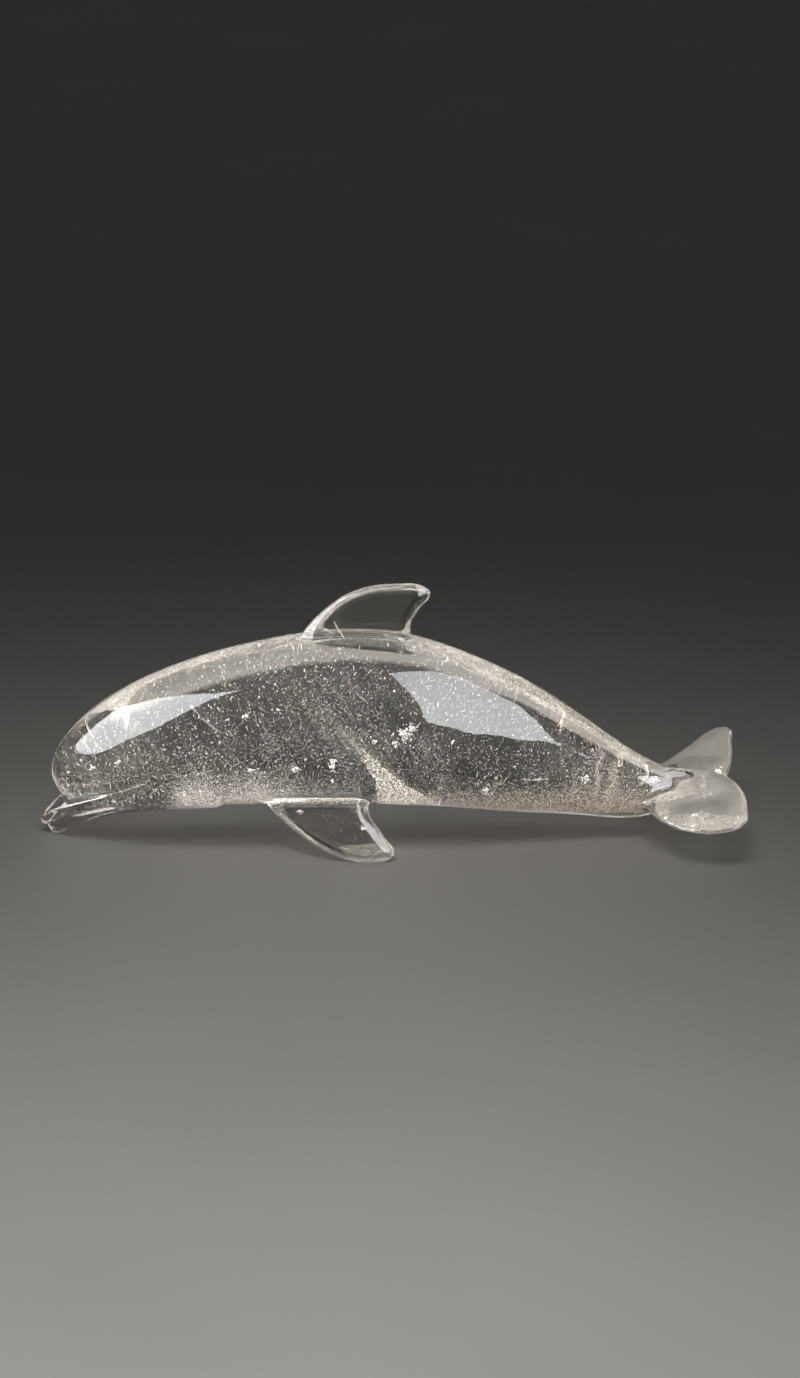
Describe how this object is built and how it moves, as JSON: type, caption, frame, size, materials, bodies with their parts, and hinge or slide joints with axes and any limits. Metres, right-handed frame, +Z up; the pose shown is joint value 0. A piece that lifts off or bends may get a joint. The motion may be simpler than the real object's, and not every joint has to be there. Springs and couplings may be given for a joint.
{
  "type": "carved crystal dolphin",
  "caption": "Leaping dolphin carved from clear rock crystal, polished, standing on its lower jaw tip and pectoral fins, with cloudy veils inside.",
  "frame": {"origin": "centre of the bounding box, on the surface the dolphin stands on", "axes": "+X towards the tail (the head looks to -X), +Z up, the dolphin's left side at -Y"},
  "size_m": [0.1996, 0.0524, 0.0758],
  "materials": {
    "rock_crystal": "hand-polished clear quartz with cloudy veils, flecks and fine sparkling inclusions"
  },
  "bodies": {
    "root": {"crystal_dolphin": "rock_crystal"}
  },
  "joints": []
}
